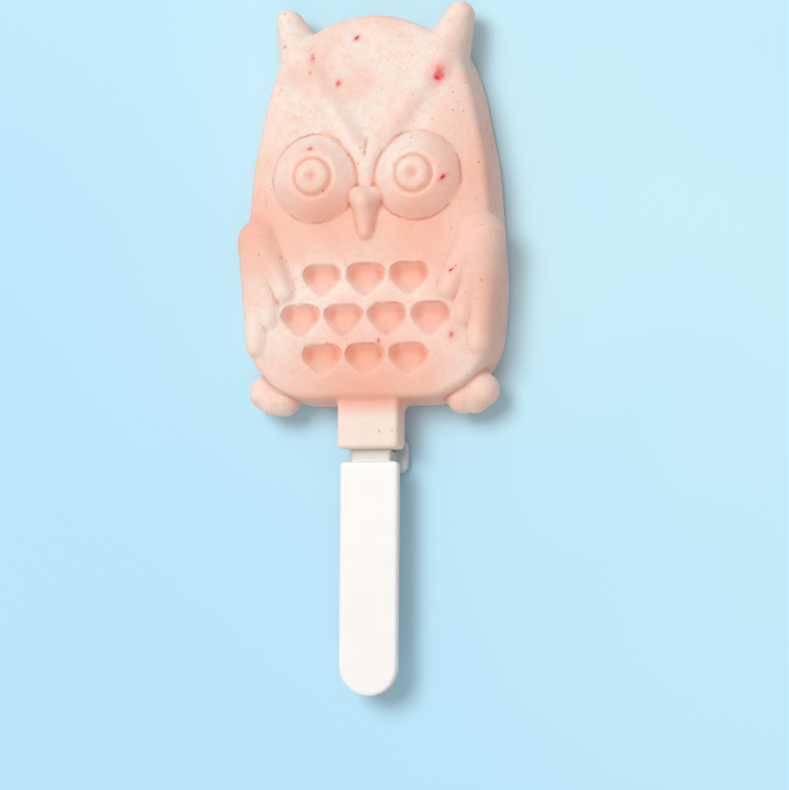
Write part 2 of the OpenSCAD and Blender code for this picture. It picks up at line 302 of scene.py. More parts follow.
# %% Head
BODY_TOP = BODY_D
EYE_X, EYE_Y, EYE_R, EYE_RISE, EYE_SINK = 12.3, 53.5, 10.8, 4.6, 0.4
RING_R, RING_W, RING_DEPTH = 4.6, 1.7, 0.6
PUPIL_R, PUPIL_DEPTH = 1.9, 0.8
EYE_SOFT = 0.4
BROW_R, BROW_GROWTH, BROW_RISE, BRIDGE_R = 1.9, 0.8, 1.6, 1.5
BROW_START, BROW_STEP, BROW_OFF_EYE = 166, 15.5, 0.7
BROW_SOFT, BROW_ARCH_SOFT, TUFT_SOFT = 0.5, 0.3, 0.6
BEAK_L, BEAK_W, BEAK_RISE, BEAK_DROP = 11.4, 7.8, 4.0, 2.8
BEAK_ROOT_R, BEAK_TIP_R = 1.7, 1.2
BEAK_SOFT, BEAK_ROOT_SOFT = 2.2, 1.2
BEAK_ROOT_Y = EYE_Y - BEAK_DROP - BEAK_ROOT_R
TUFT_ROOT_R, TUFT_TIP_R, TUFT_TIP_DROP, TUFT_SIDE_D = 6.6, 3.2, 3.0, 2.0
TUFT_ROOT = (16.4, 81.0, BODY_TOP + BROW_RISE / 2 - TUFT_ROOT_R, TUFT_ROOT_R)
TUFT_TIP = (21.3, 92.9, BODY_TOP - TUFT_TIP_DROP - TUFT_TIP_R, TUFT_TIP_R)


def cap_ball_r(r, height):
    """Radius of the ball of which a dome or dent of that radius and height is the cap."""
    return (r**2 + height**2) / (2 * height)


EYE_BALL_R = cap_ball_r(EYE_R, EYE_RISE + EYE_SINK)
EYE_BALL_Z = BODY_TOP + EYE_RISE - EYE_BALL_R


def eye(at):
    """A dome with a shallow ring and a dimple for the pupil."""
    from_axis = np.sqrt((at[0] - EYE_X) ** 2 + (at[1] - EYE_Y) ** 2)
    dome = common(ball(at, (EYE_X, EYE_Y, EYE_BALL_Z), EYE_BALL_R), from_axis - EYE_R, EYE_SOFT)
    dome = np.maximum(dome, BODY_D / 2 - at[2])
    tube_r = cap_ball_r(RING_W / 2, RING_DEPTH)
    ring_reach = EYE_BALL_R + tube_r - RING_DEPTH
    ring_angle = math.asin(RING_R / EYE_BALL_R)
    aside = from_axis - ring_reach * math.sin(ring_angle)
    above = at[2] - EYE_BALL_Z - ring_reach * math.cos(ring_angle)
    pupil_ball_r = cap_ball_r(PUPIL_R, PUPIL_DEPTH)
    pupil = ball(at, (EYE_X, EYE_Y, BODY_TOP + EYE_RISE - PUPIL_DEPTH + pupil_ball_r), pupil_ball_r)
    ringed = carved(dome, np.sqrt(aside**2 + above**2) - tube_r, EYE_SOFT)
    return carved(ringed, pupil, EYE_SOFT)


def brow_and_tuft(at):
    """A ridge that rises between the eyes, rounds one of them and runs out to the ear tuft."""
    reach = EYE_R + BROW_OFF_EYE * BROW_R
    points = []
    for k in range(3):
        a = math.radians(BROW_START - BROW_STEP * k)
        r = BROW_R + BROW_GROWTH * k / 2
        x, y = EYE_X + reach * math.cos(a), EYE_Y + reach * math.sin(a)
        points.append((x, y, BODY_TOP + BROW_RISE - r, r))
    bridge = (0, BEAK_ROOT_Y, BODY_TOP + BROW_RISE / 2 - BRIDGE_R, BRIDGE_R)
    form = joined(swelling(at, bridge, points[0]), swelling(at, points[0], points[1]), BROW_SOFT)
    form = joined(form, swelling(at, points[1], points[2]), BROW_ARCH_SOFT)
    form = joined(form, swelling(at, points[2], TUFT_ROOT), BROW_SOFT)
    for deeper in (0, TUFT_SIDE_D / 2, TUFT_SIDE_D):
        root, tip = ((x, y, z - deeper, r) for x, y, z, r in (TUFT_ROOT, TUFT_TIP))
        tuft = swelling(at, root, tip)
        form = joined(form, tuft, TUFT_SOFT) if deeper == 0 else np.minimum(form, tuft)
    return form


def beak(at):
    """A short hooked beak: a root on each side and a raised ridge, all running to one tip."""
    root = (BEAK_W / 2 - BEAK_ROOT_R, BEAK_ROOT_Y, BODY_TOP - BEAK_ROOT_R / 3, BEAK_ROOT_R)
    middle = (0, BEAK_ROOT_Y, BODY_TOP + BEAK_RISE / 3 - BEAK_ROOT_R / 2, BEAK_ROOT_R)
    ridge = (0, BEAK_ROOT_Y - BEAK_L / 8, BODY_TOP + BEAK_RISE - BEAK_ROOT_R, BEAK_ROOT_R)
    tip = (0, EYE_Y - BEAK_DROP - BEAK_L + BEAK_TIP_R, BODY_TOP, BEAK_TIP_R)
    form = joined(swelling(at, root, tip), swelling(at, ridge, tip), BEAK_SOFT)
    form = joined(form, swelling(at, root, middle), BEAK_ROOT_SOFT)
    return joined(form, swelling(at, root, ridge), BEAK_SOFT)


print("eye ball radius in mm:", round(EYE_BALL_R, 2))

# %% [markdown]
# Wings, feet and neck use the same swelling. The feathers of the breast are hollows: a rounded
# shield pressed into the front, so a ball is swept over a small triangle and carved away.

# %% Wings, feathers, feet and neck
WING_RISE, WING_SHOULDER_R = 1.8, 6.0
WING_SHOULDER = (26.8, 39.0, BODY_TOP + WING_RISE - WING_SHOULDER_R, WING_SHOULDER_R)
WING_TIP_R, WING_TIP_PITCH, WING_STEP, WING_TIP_SINK = 2.8, 3.5, 6.4, 1.2
WING_TIP_X, WING_TIP_Y = 27.2, 13.8
FAN_SOFT = 0.35
FEATHER_W, FEATHER_H, FEATHER_DEPTH, FEATHER_TILT, FEATHER_R = 9.6, 8.4, 2.0, 0.9, 2.7
FEATHER_PITCH, ROW_PITCH, ROW_Y, ROW_COUNTS = 10.6, 9.5, 9.8, (3, 4, 3)
FOOT_X, TOE_L, TOE_R, TOE_REACH, TOE_Z = 23.0, 13.0, 4.2, 2.6, 7.0
TOE_OUT, TOE_FAN = 20, 32
NECK_W, NECK_D, NECK_EDGE_R = 15.2, 7.8, 1.3
NECK_RISE, NECK_ROOT = 1.2, 4
NECK_Z = BODY_D / 2 + NECK_RISE
BLADE_Z = BODY_D / 2


def wing(at):
    """Three feathers that fan out of one shoulder."""
    form = np.inf
    for k in range(3):
        tip_top = BODY_TOP + WING_RISE - WING_TIP_SINK * (1 - k / 2)
        x, y = WING_TIP_X - WING_TIP_PITCH * k, WING_TIP_Y + WING_STEP * k
        feather = swelling(at, WING_SHOULDER, (x, y, tip_top - WING_TIP_R, WING_TIP_R))
        form = feather if k == 0 else joined(form, feather, FAN_SOFT)
    return form


def feathers(at):
    """Rows of shield-shaped hollows, deepest at their upper edge, on the grid's own half."""
    press_r = cap_ball_r(FEATHER_R, FEATHER_DEPTH)
    corner_x, corner_y = FEATHER_W / 2 - FEATHER_R, FEATHER_H / 2 - FEATHER_R
    lean = math.atan2(FEATHER_TILT, 2 * corner_y)
    corner_v = corner_y / math.cos(lean)
    shield = [(-corner_x, corner_v), (0, -corner_v), (corner_x, corner_v)]
    above = at[2] - (BODY_TOP - FEATHER_DEPTH + press_r + FEATHER_TILT / 2)
    form = np.inf
    for row, count in enumerate(ROW_COUNTS):
        for k in range(count):
            x = (k - (count - 1) / 2) * FEATHER_PITCH
            if x >= 0:
                along = at[1] - ROW_Y - row * ROW_PITCH
                in_plane = along * math.cos(lean) - above * math.sin(lean)
                off_plane = along * math.sin(lean) + above * math.cos(lean)
                flat = to_outline(at[0] - x, in_plane, shield)
                form = np.minimum(form, np.sqrt(np.maximum(flat, 0) ** 2 + off_plane**2) - press_r)
    return form


def foot(at):
    """Three toes that fan out of one heel."""
    heel_y, reach = TOE_L - TOE_R - TOE_REACH, TOE_L - 2 * TOE_R
    heel = (FOOT_X, heel_y, TOE_Z, TOE_R)
    form = np.inf
    for k in (-1, 0, 1):
        a = math.radians(TOE_OUT + TOE_FAN * k)
        x, y = FOOT_X + reach * math.sin(a), heel_y - reach * math.cos(a)
        toe = swelling(at, heel, (x, y, TOE_Z, TOE_R))
        form = toe if k == -1 else joined(form, toe, FAN_SOFT)
    return form


def neck(at):
    """The square plug that froze in the mould's mouth."""
    length = NECK_L + NECK_ROOT
    return rounded_box(at, (0, length / 2 - NECK_L, NECK_Z), (NECK_W, length, NECK_D), NECK_EDGE_R)


print("hollow feathers:", sum(ROW_COUNTS))

# %% [markdown]
# ## The stick's forms
# The stick is one moulding: a flat handle, a web, a guard tab and the blade that the ice froze
# round. Rounded boxes and a round end are all it needs. Small soft joins stand for the fillets
# that any plastic mould has, and keep the light running round the corners.

# %% Stick's forms
HANDLE_W, HANDLE_T, HANDLE_L = 14.1, 2.8, 55.0
LIP_GAP, HANDLE_SETBACK = 2.9, 2.0
BLADE_W, BLADE_T, BLADE_REACH = 9.4, 2.6, 46.0
KEY_HOLE_R, KEY_HOLE_DROP = 2.1, 9.0
GUARD_W, GUARD_H, GUARD_T, GUARD_CORNER_R = 14.8, 8.0, 2.0, 2.0
GUARD_LAP, GUARD_SETBACK, WEB_REACH, WEB_CLEARANCE = 2.8, 2.2, 5.0, 0.3
PLASTIC_EDGE_R, BLADE_EDGE_R, WEB_EDGE_R, HANDLE_CORNER_R = 0.5, 0.3, 0.2, 1.0
STICK_SOFT, BLADE_SOFT = 0.5, 0.3
SHARP_R = 0.01

HANDLE_TOP = -NECK_L - LIP_GAP
STICK_END = HANDLE_TOP - HANDLE_L
HANDLE_FACE = NECK_Z + NECK_D / 2 - HANDLE_SETBACK
GUARD_FACE = NECK_Z - NECK_D / 2 - GUARD_SETBACK
WEB_LOW = HANDLE_TOP - WEB_REACH


def plate(at, outline_distance, z_mid, thickness, edge_r):
    """A flat plate of any outline, with its edges rounded on both faces."""
    aside = outline_distance + edge_r
    above = np.abs(at[2] - z_mid) - (thickness / 2 - edge_r)
    outside = np.sqrt(np.maximum(aside, 0) ** 2 + np.maximum(above, 0) ** 2)
    return outside + np.minimum(np.maximum(aside, above), 0) - edge_r


def flat_box(at, y_low, y_high, w, corner_r):
    """Distance in the plane to a box with round corners, across the middle line."""
    dx = np.abs(at[0]) - (w / 2 - corner_r)
    dy = np.abs(at[1] - (y_low + y_high) / 2) - ((y_high - y_low) / 2 - corner_r)
    outside = np.sqrt(np.maximum(dx, 0) ** 2 + np.maximum(dy, 0) ** 2)
    return outside + np.minimum(np.maximum(dx, dy), 0) - corner_r


def round_ended(at, y_flat, y_round, w):
    """Distance in the plane to a strip with one round end."""
    end_y = y_round + math.copysign(w / 2, y_flat - y_round)
    disc = np.sqrt(at[0] ** 2 + (at[1] - end_y) ** 2) - w / 2
    strip = flat_box(at, min(y_flat, end_y), max(y_flat, end_y), w, SHARP_R)
    return np.minimum(disc, strip)


def blade(at, edge_r):
    """The part that the ice grips, with its key hole."""
    flat = round_ended(at, WEB_LOW, BLADE_REACH, BLADE_W)
    hole = np.sqrt(at[0] ** 2 + (at[1] - (BLADE_REACH - KEY_HOLE_DROP)) ** 2) - KEY_HOLE_R
    return plate(at, np.maximum(flat, -hole), BLADE_Z, BLADE_T, edge_r)


def stick_form(at):
    """The whole moulding. A sharp box fills the nicks between the handle's strip and round end."""
    end_r = HANDLE_W / 2
    disc = np.sqrt(at[0] ** 2 + (at[1] - STICK_END - end_r) ** 2) - end_r
    strip = flat_box(at, STICK_END + end_r, HANDLE_TOP, HANDLE_W, HANDLE_CORNER_R)
    filler = flat_box(at, STICK_END + end_r, STICK_END + 2 * end_r, HANDLE_W, SHARP_R)
    handle_flat = np.minimum(disc, np.minimum(strip, filler))
    handle = plate(at, handle_flat, HANDLE_FACE - HANDLE_T / 2, HANDLE_T, PLASTIC_EDGE_R)
    guard_top = -NECK_L + GUARD_LAP
    guard_flat = flat_box(at, guard_top - GUARD_H, guard_top, GUARD_W, GUARD_CORNER_R)
    guard = plate(at, guard_flat, GUARD_FACE - GUARD_T / 2, GUARD_T, PLASTIC_EDGE_R)
    web_top = -NECK_L - WEB_CLEARANCE
    web_low_z, web_high_z = GUARD_FACE - GUARD_T / 2, BLADE_Z
    web = rounded_box(
        at,
        (0, (WEB_LOW + web_top) / 2, (web_low_z + web_high_z) / 2),
        (BLADE_W, web_top - WEB_LOW, web_high_z - web_low_z),
        WEB_EDGE_R,
    )
    form = joined(joined(handle, web, STICK_SOFT), guard, STICK_SOFT)
    return joined(form, blade(at, BLADE_EDGE_R), BLADE_SOFT)


print("stick from", STICK_END, "to", BLADE_REACH, "mm")

# %% [markdown]
# ## Casting the pop
# The forms are put together in the order in which a mould maker would cut them: first the slab,
# then what stands on it, then the hollows, and last the pocket that the stick's blade leaves.
# How soft each join is decides how crisp the crease looks, so the domes of the eyes get a fine
# one. The neck's join is wide at the sides and crisp at the front, under the body's lower lip.

# %% Frozen pop as a field
CELL, MARGIN_CELLS = 0.38, 2.5
POP_X_HIGH, POP_Y_HIGH, POP_Z_HIGH = 33, 96.2, 19.7
JOINS = [(brow_and_tuft, 1.1), (wing, 0.6), (foot, 0.8), (beak, 0.6), (eye, 0.5)]
NECK_JOIN_LEVELS, NECK_JOINS = (9, 12), (3.0, 0.7)
FEATHER_SOFT, POCKET_ROOM = 0.22, 0.2


def half_grid(x_high, y_low, y_high, z_low, z_high, cell):
    """Columns, rows and levels of a grid whose first column lies on the middle plane."""
    margin = MARGIN_CELLS * cell
    x = np.arange(0, x_high + margin, cell)
    y = np.arange(y_low - margin, y_high + margin, cell)
    z = np.arange(z_low - margin, z_high + margin, cell)
    return x[:, None, None], y[None, :, None], z[None, None, :]


def both_halves(half):
    """The mirrored whole of a half field."""
    return np.concatenate([half[:0:-1], half])


def corner_of(at):
    """Where the mirrored grid's first corner is."""
    return np.array([-at[0].max(), at[1].min(), at[2].min()])


ice_at = half_grid(POP_X_HIGH, -NECK_L, POP_Y_HIGH, 0, POP_Z_HIGH, CELL)
ice = slab(*ice_at)
for form, soft in JOINS:
    ice = joined(ice, form(ice_at), soft)
ice = joined(ice, neck(ice_at), np.interp(ice_at[2], NECK_JOIN_LEVELS, NECK_JOINS))
uncut_ice = both_halves(ice)
ice = carved(ice, feathers(ice_at), FEATHER_SOFT)
ice = np.maximum(ice, POCKET_ROOM - blade(ice_at, SHARP_R))
ice = both_halves(np.maximum(ice, -ice_at[2]))
print("grid:", ice.shape)

# %% [markdown]
# ## The skin of the pop
# A frozen pop isn't as true as its mould: its skin waves a little where it began to melt. So
# every point moves inwards by a slow noise, apart from the flat back and the pocket. Soft joins
# swell a few hundredths of a millimetre past the mould, so no point may leave the solid's box.
# The same cell keeps three numbers for the finish. `crease` and `hollow` come from blurring the
# field, a little and a lot: in a crease there is more ice around than in the open. `pressed` is how
# far the breast's feathers are pressed in, read from the field as it was before they were carved.

# %% Frozen pop
WAVE_MM, WAVE_SIZE = 0.18, 11.0
RIPPLE_MM, RIPPLE_SIZE = 0.07, 2.6
CALM_BACK, POCKET_ASIDE, POCKET_ABOVE = 2, 1, 0.5
CREASE_REACH, HOLLOW_REACH = 2, 6


def blurred(field, reach):
    """The field with each value replaced by the mean of those within reach, along each axis."""
    for axis in range(3):
        ends = [(reach + 1, reach) if i == axis else (0, 0) for i in range(3)]
        sums = np.cumsum(np.pad(field, ends, mode="edge"), axis=axis)
        size = field.shape[axis]
        high = np.take(sums, range(2 * reach + 1, 2 * reach + 1 + size), axis)
        field = (high - np.take(sums, range(size), axis)) / (2 * reach + 1)
    return field


def slow_noise(points_mm, size_mm):
    """A smooth random number from -1 to 1 for every point."""
    return np.array([noise.noise(Vector(p / size_mm)) for p in points_mm])


def keep_numbers(piece, name, values):
    """Store one number for each point, for the material to read."""
    layer = piece.data.attributes.new(name, "FLOAT", "POINT")
    layer.data.foreach_set("value", np.asarray(values, dtype=np.float32))


points, quads = skin_of(ice)
crease = read_field(blurred(ice, CREASE_REACH), points)
hollow = read_field(blurred(ice, HOLLOW_REACH), points)
pressed = -read_field(uncut_ice, points)
points = points * CELL + corner_of(ice_at)
pop = mesh_piece("frozen_yoghurt_pop", points + [0, BODY_BOTTOM_Y / MM, 0], quads)
for name, values in (("crease", crease), ("hollow", hollow), ("pressed", pressed)):
    keep_numbers(pop, name, values)

normals = np.empty(3 * len(points))
pop.data.vertex_normals.foreach_get("vector", normals)
wave = WAVE_MM * (slow_noise(points, WAVE_SIZE) + 1) / 2
wave += RIPPLE_MM * (slow_noise(points, RIPPLE_SIZE) + 1) / 2
in_pocket = np.abs(points[:, 0]) < BLADE_W / 2 + POCKET_ASIDE
in_pocket &= np.abs(points[:, 2] - BLADE_Z) < BLADE_T / 2 + POCKET_ABOVE
wave *= np.clip(points[:, 2] / CALM_BACK, 0, 1) * ~in_pocket
points -= wave[:, None] * normals.reshape(-1, 3)
places = (points + [0, BODY_BOTTOM_Y / MM, 0]) * MM
pop.data.vertices.foreach_set("co", np.clip(places, tuple(pop_low), tuple(pop_high)).ravel())
print("pop:", len(points), "points,", len(quads), "quads; crease", crease.min(), crease.max())
print("hollow", hollow.min(), hollow.max())

# %% [markdown]
# ## One flat back
# The pop froze against the open side of its mould, so its back is level. The skin tool has laid
# thousands of small quads there that say nothing. Merging them into a single face keeps the
# mesh light. The walls of the stick's pocket are as flat, but the key hole's peg runs through
# them, so they are only cleared of needless edges. Those edges are handed over in a fixed order:
# a Python set would shuffle them, and the mesh would differ from run to run. Merged faces are
# shaded flat, because a smooth face would borrow its shading from the rounded edges round it.

# %% Merge the flat back
LEVEL_TOLERANCE = 1e-6
FLAT_ANGLE = math.radians(0.1)
MOUTH_MARGIN = 1


def merge_flat_back(piece):
    """Turn all faces that lie at the lowest level into one, and clear the pocket's flat walls."""
    mesh = bmesh.new()
    mesh.from_mesh(piece.data)
    floor_z = min(v.co.z for v in mesh.verts) + LEVEL_TOLERANCE
    flat = [f for f in mesh.faces if all(v.co.z < floor_z for v in f.verts)]
    bmesh.ops.dissolve_faces(mesh, faces=flat, use_verts=False)
    wall_zs = [(BLADE_Z + side * (BLADE_T / 2 + POCKET_ROOM)) * MM for side in (-1, 1)]
    inside_x = (BLADE_W / 2 + POCKET_ASIDE) * MM
    inside_y = BODY_BOTTOM_Y - (NECK_L - MOUTH_MARGIN) * MM
    walls = [v for v in mesh.verts if min(abs(v.co.z - z) for z in wall_zs) < LEVEL_TOLERANCE]
    walls = [v for v in walls if abs(v.co.x) < inside_x and v.co.y > inside_y]
    edges = list(dict.fromkeys(e for v in walls for e in v.link_edges))
    bmesh.ops.dissolve_limit(mesh, angle_limit=FLAT_ANGLE, verts=walls, edges=edges)
    for face in mesh.faces:
        face.smooth = len(face.verts) == 4
    mesh.to_mesh(piece.data)
    mesh.free()
    return len(flat)


print("back faces merged:", merge_flat_back(pop), "- faces left:", len(pop.data.polygons))

# %% [markdown]
# ## The stick's mesh
# The same tools skin the stick, on a finer grid, because its edges are tighter than the ice's.

# %% Stick's mesh
STICK_CELL = 0.3
stick_low_z = GUARD_FACE - GUARD_T
stick_at = half_grid(GUARD_W / 2, STICK_END, BLADE_REACH, stick_low_z, HANDLE_FACE, STICK_CELL)
points, quads = skin_of(both_halves(stick_form(stick_at)))
points = points * STICK_CELL + corner_of(stick_at) + [0, BODY_BOTTOM_Y / MM, 0]
stick = mesh_piece("moulded_stick", points, quads)
print("stick:", len(points), "points")

# %% [markdown]
# ## Mixing finishes from nodes
# Real frozen yoghurt is a pale pink mass with fruit in it. Painting an image would give fixed
# pixels; nodes give the same detail at any distance and on every side. A small helper adds the
# nodes one line at a time. Positions are read from the object, so the pattern stays on it.

# %% Node helper
class Finish:
    """A material that is built up one node at a time, with positions in millimetres."""

    def __init__(self, name):
        self.material = bpy.data.materials.new(name)
        self.material.use_nodes = True
        self.tree = self.material.node_tree
        self.shader = self.tree.nodes["Principled BSDF"]
        place = self.tree.nodes.new("ShaderNodeTexCoord").outputs["Object"]
        self.place = self.add("VectorMath", {0: place, "Scale": 1 / MM}, "Vector", operation="SCALE")

    def put(self, socket, value):
        """Set a socket to a constant or join it to another node."""
        if isinstance(value, bpy.types.NodeSocket):
            self.tree.links.new(value, socket)
        else:
            socket.default_value = value

    def add(self, kind, inputs, output=0, **settings):
        """Add a node and return one of its outputs."""
        node = self.tree.nodes.new("ShaderNode" + kind)
        for name, value in settings.items():
            setattr(node, name, value)
        for socket, value in inputs.items():
            self.put(node.inputs[socket], value)
        return node.outputs[output]

    def cloud(self, size_mm, detail=2.0, rough=0.5, place=None):
        """A soft random value around a half."""
        inputs = {
            "Vector": place or self.place,
            "Scale": 1 / size_mm,
            "Detail": detail,
            "Roughness": rough,
        }
        return self.add("TexNoise", inputs, "Fac")

    def ramp(self, value, low, high, to_low=0.0, to_high=1.0):
        """Stretch a value softly from one range to another."""
        inputs = {
            "Value": value,
            "From Min": low,
            "From Max": high,
            "To Min": to_low,
            "To Max": to_high,
        }
        return self.add("MapRange", inputs, interpolation_type="SMOOTHSTEP")

    def math(self, operation, a, b=0.0):
        """A sum, product or the like of two values."""
        return self.add("Math", {0: a, 1: b}, operation=operation)

    def all_of(self, *shares):
        """Several shares multiplied together."""
        whole = shares[0]
        for share in shares[1:]:
            whole = self.math("MULTIPLY", whole, share)
        return whole

    def tint(self, share, under, over):
        """One colour laid over another."""
        return self.add("MixRGB", {"Fac": share, "Color1": under, "Color2": over})

    def stored(self, name):
        """A number that the mesh keeps at its points."""
        return self.add("Attribute", {}, "Fac", attribute_name=name)

    def bump(self, height, depth_mm, under=None):
        """Small relief of the surface."""
        inputs = {"Height": height, "Strength": 1.0, "Distance": depth_mm * MM}
        if under:
            inputs["Normal"] = under
        return self.add("Bump", inputs, "Normal")


def colour(web):
    """A web colour as the linear colour that Blender's sockets take."""
    shares = [int(web[i : i + 2], 16) / 255 for i in (1, 3, 5)]
    return [c / 12.92 if c <= 0.04045 else ((c + 0.055) / 1.055) ** 2.4 for c in shares] + [1.0]


print("a middle grey in linear light:", [round(c, 3) for c in colour("#808080")])

# %% [markdown]
# ## Frozen fruit yoghurt
# The mass is cream with a breath of pink. Clouds of three sizes mottle it, thin veins show where
# juice was stirred in, and it is pinker in some places: along its left flank this is the mass's own
# colour, while under the owl's eyes, on its right flank and towards its feet it is painted shade.
# The neck is the palest. Each row of MOTTLES gives a cloud's size, its detail, the values between
# which it shows and its full share. Each row of JUICE_AND_SHADE_MM gives the middle of a pink
# place, how far it reaches and its share.

# %% Yoghurt's mass
CREAM, ROSE, NECK_CREAM = colour("#ffebe3"), colour("#fdb9a2"), colour("#ffeee6")
MOTTLES = [
    (17.0, 2.0, 0.4, 0.7, 0.36),
    (2.4, 4.0, 0.45, 0.75, 0.2),
    (0.8, 3.0, 0.4, 0.7, 0.12),
]
VEINS_MM, VEIN_WIDTH, VEIN_SHARE = (9.0, 5.0), 0.03, 0.14
JUICE_AND_SHADE_MM = [
    (-29, 42, 20, 0.8),
    (-10, 44, 18, 0.65),
    (13, 42, 19, 0.65),
    (29, 54, 22, 0.7),
    (28, 26, 24, 0.6),
    (0, -2, 34, 0.9),
]
NECK_FADE_HIGH, NECK_FADE_LOW, NECK_SHARE = 1, 4, 0.85

yoghurt = Finish("frozen_fruit_yoghurt")
mass = CREAM
for size_mm, detail, low, high, share in MOTTLES:
    mottle = yoghurt.ramp(yoghurt.cloud(size_mm, detail), low, high, 0.0, share)
    mass = yoghurt.tint(mottle, mass, ROSE)
for size_mm in VEINS_MM:
    from_vein = yoghurt.math("SUBTRACT", yoghurt.cloud(size_mm, 3.0), 0.5)
    from_vein = yoghurt.math("ABSOLUTE", from_vein)
    mass = yoghurt.tint(yoghurt.ramp(from_vein, VEIN_WIDTH, 0.0, 0.0, VEIN_SHARE), mass, ROSE)
bottom_y = BODY_BOTTOM_Y / MM
# Partly the mass's own pink, partly painted shade under the eyes, on the right flank and towards the
# feet.
for x, y, reach, share in JUICE_AND_SHADE_MM:
    middle = (x, y + bottom_y, BODY_D)
    away = yoghurt.add("VectorMath", {0: yoghurt.place, 1: middle}, "Value", operation="DISTANCE")
    mass = yoghurt.tint(yoghurt.ramp(away, reach, 0.0, 0.0, share), mass, ROSE)
height = yoghurt.add("SeparateXYZ", {0: yoghurt.place}, "Y")
on_neck = yoghurt.ramp(height, bottom_y + NECK_FADE_HIGH, bottom_y - NECK_FADE_LOW, 0.0, NECK_SHARE)
mass = yoghurt.tint(on_neck, mass, NECK_CREAM)
print("places with more juice:", len(JUICE_AND_SHADE_MM))

# %% [markdown]
# Creases and hollows are painted darker: this is painted shade, salmon in the creases and in the
# breast's hollows, brown in the tightest creases and tan in the deepest hollows. The mesh has kept
# how deep each point lies, so no shape has to be drawn again. Each row names one of those numbers,
# the values between which its tint comes in, the tint's full share and its colour.

# %% Painted shade in creases and hollows
CREASE_SHADE_SALMON, CREASE_SHADE_BROWN, HOLLOW_SHADE_TAN = colour("#f2946a"), colour("#c6805f"), colour("#cb8f68")
CREASE_LEVELS = (-0.04, -0.19)
PAINTED_SHADE_TINTS = [
    ("hollow", -0.05, -0.9, 0.3, CREASE_SHADE_SALMON),
    ("crease", *CREASE_LEVELS, 0.52, CREASE_SHADE_SALMON),
    ("pressed", 0.1, 1.9, 0.34, CREASE_SHADE_SALMON),
    ("crease", -0.12, -0.26, 0.42, CREASE_SHADE_BROWN),
    ("hollow", -0.3, -1.0, 0.42, HOLLOW_SHADE_TAN),
]
# Painted shade: the creases and hollows darkened in salmon, brown and tan.
for name, low, high, share, tone in PAINTED_SHADE_TINTS:
    mass = yoghurt.tint(yoghurt.ramp(yoghurt.stored(name), low, high, 0.0, share), mass, tone)
print("tints by depth:", len(PAINTED_SHADE_TINTS))

# %% [markdown]
# Where forms meet, fine dark lines of painted shade are laid: round the foot of each eye, and along
# the upper rims of the breast's hollows, where the light from above leaves the wall in shadow. The
# eyes' line wanders about its circle, and shows only near the level of the body's front. A rim is
# where a hollow has just begun, above the middle of its row. One cloud breaks up both kinds of
# line, because an even line would look drawn.

# %% Lines of painted shade
SHADE_LINE_BROWN = colour("#cf7456")
EYE_LINE_R, LINE_WANDER, LINE_WANDER_MM = 10.6, 0.9, 1.6
LINE_EDGE, ABOVE_FRONT, BELOW_FRONT = (0.5, 0.05), (1.0, 0.6), (-2.0, -1.0)
RIM_STARTS, RIM_ENDS, UPPER_PART = (0.0, 0.2), (0.9, 0.3), (0.05, 0.28)
BREAK_MM = 4.5

beside = yoghurt.add("VectorMath", {0: yoghurt.place}, "Vector", operation="ABSOLUTE")
beside = yoghurt.add("SeparateXYZ", {0: beside}, "X")
folded = yoghurt.add("CombineXYZ", {"X": beside, "Y": height}, "Vector")
eye_foot = (EYE_X, EYE_Y + bottom_y, 0)
from_eye = yoghurt.add("VectorMath", {0: folded, 1: eye_foot}, "Value", operation="DISTANCE")
line_r = yoghurt.math("MULTIPLY", yoghurt.cloud(LINE_WANDER_MM, 3.0), LINE_WANDER)
line_r = yoghurt.math("ADD", line_r, EYE_LINE_R - LINE_WANDER / 2)
from_line = yoghurt.math("ABSOLUTE", yoghurt.math("SUBTRACT", from_eye, line_r))
level = yoghurt.add("SeparateXYZ", {0: yoghurt.place}, "Z")
eye_shade_line = yoghurt.all_of(
    yoghurt.ramp(from_line, *LINE_EDGE),
    yoghurt.ramp(level, *(BODY_TOP + z for z in ABOVE_FRONT)),
    yoghurt.ramp(level, *(BODY_TOP + z for z in BELOW_FRONT)),
)
from_row = yoghurt.math("DIVIDE", yoghurt.math("SUBTRACT", height, bottom_y + ROW_Y), ROW_PITCH)
from_row = yoghurt.math("SUBTRACT", from_row, yoghurt.math("ROUND", from_row))
rim_shade_line = yoghurt.all_of(
    yoghurt.ramp(yoghurt.stored("pressed"), *RIM_STARTS),
    yoghurt.ramp(yoghurt.stored("pressed"), *RIM_ENDS),
    yoghurt.ramp(from_row, *UPPER_PART),
)
uneven = yoghurt.ramp(yoghurt.cloud(BREAK_MM, 2.0), 0.38, 0.62, 0.04, 0.5)
# Painted shade: dark lines round the foot of each eye and under the hollows' upper rims.
for share in (eye_shade_line, rim_shade_line):
    mass = yoghurt.tint(yoghurt.all_of(share, uneven), mass, SHADE_LINE_BROWN)
print("yoghurt nodes so far:", len(yoghurt.tree.nodes))

# %% [markdown]
# Dark specks are seeds and bits of skin, pale ones are frost. They gather in some places, in the
# creases and along the owl's left. A Voronoi pattern puts one dot in each of its cells, and the
# cell's random colour says whether the dot is kept and how large it is. Each row gives the cells'
# size, the largest dot as a share of it, the share of cells left empty, the colour and its strength.

# %% Specks
SEED, SKIN, FROST = colour("#986656"), colour("#d08272"), colour("#fff3ec")
SPECKS = [
    (1.7, 0.17, 0.55, FROST, 0.6),
    (4.1, 0.17, 0.4, SKIN, 0.5),
    (3.1, 0.12, 0.2, SEED, 0.58),
    (1.3, 0.22, 0.35, SEED, 0.32),
]
SPECK_WOBBLE, SMALLEST_SPECK, SPECK_CORE = 0.12, 0.35, 0.4
CREASE_CROWD, CROWD_MM = 1.04, 13.0
LEFT_SIDE_MM = (10.0, 28.0)

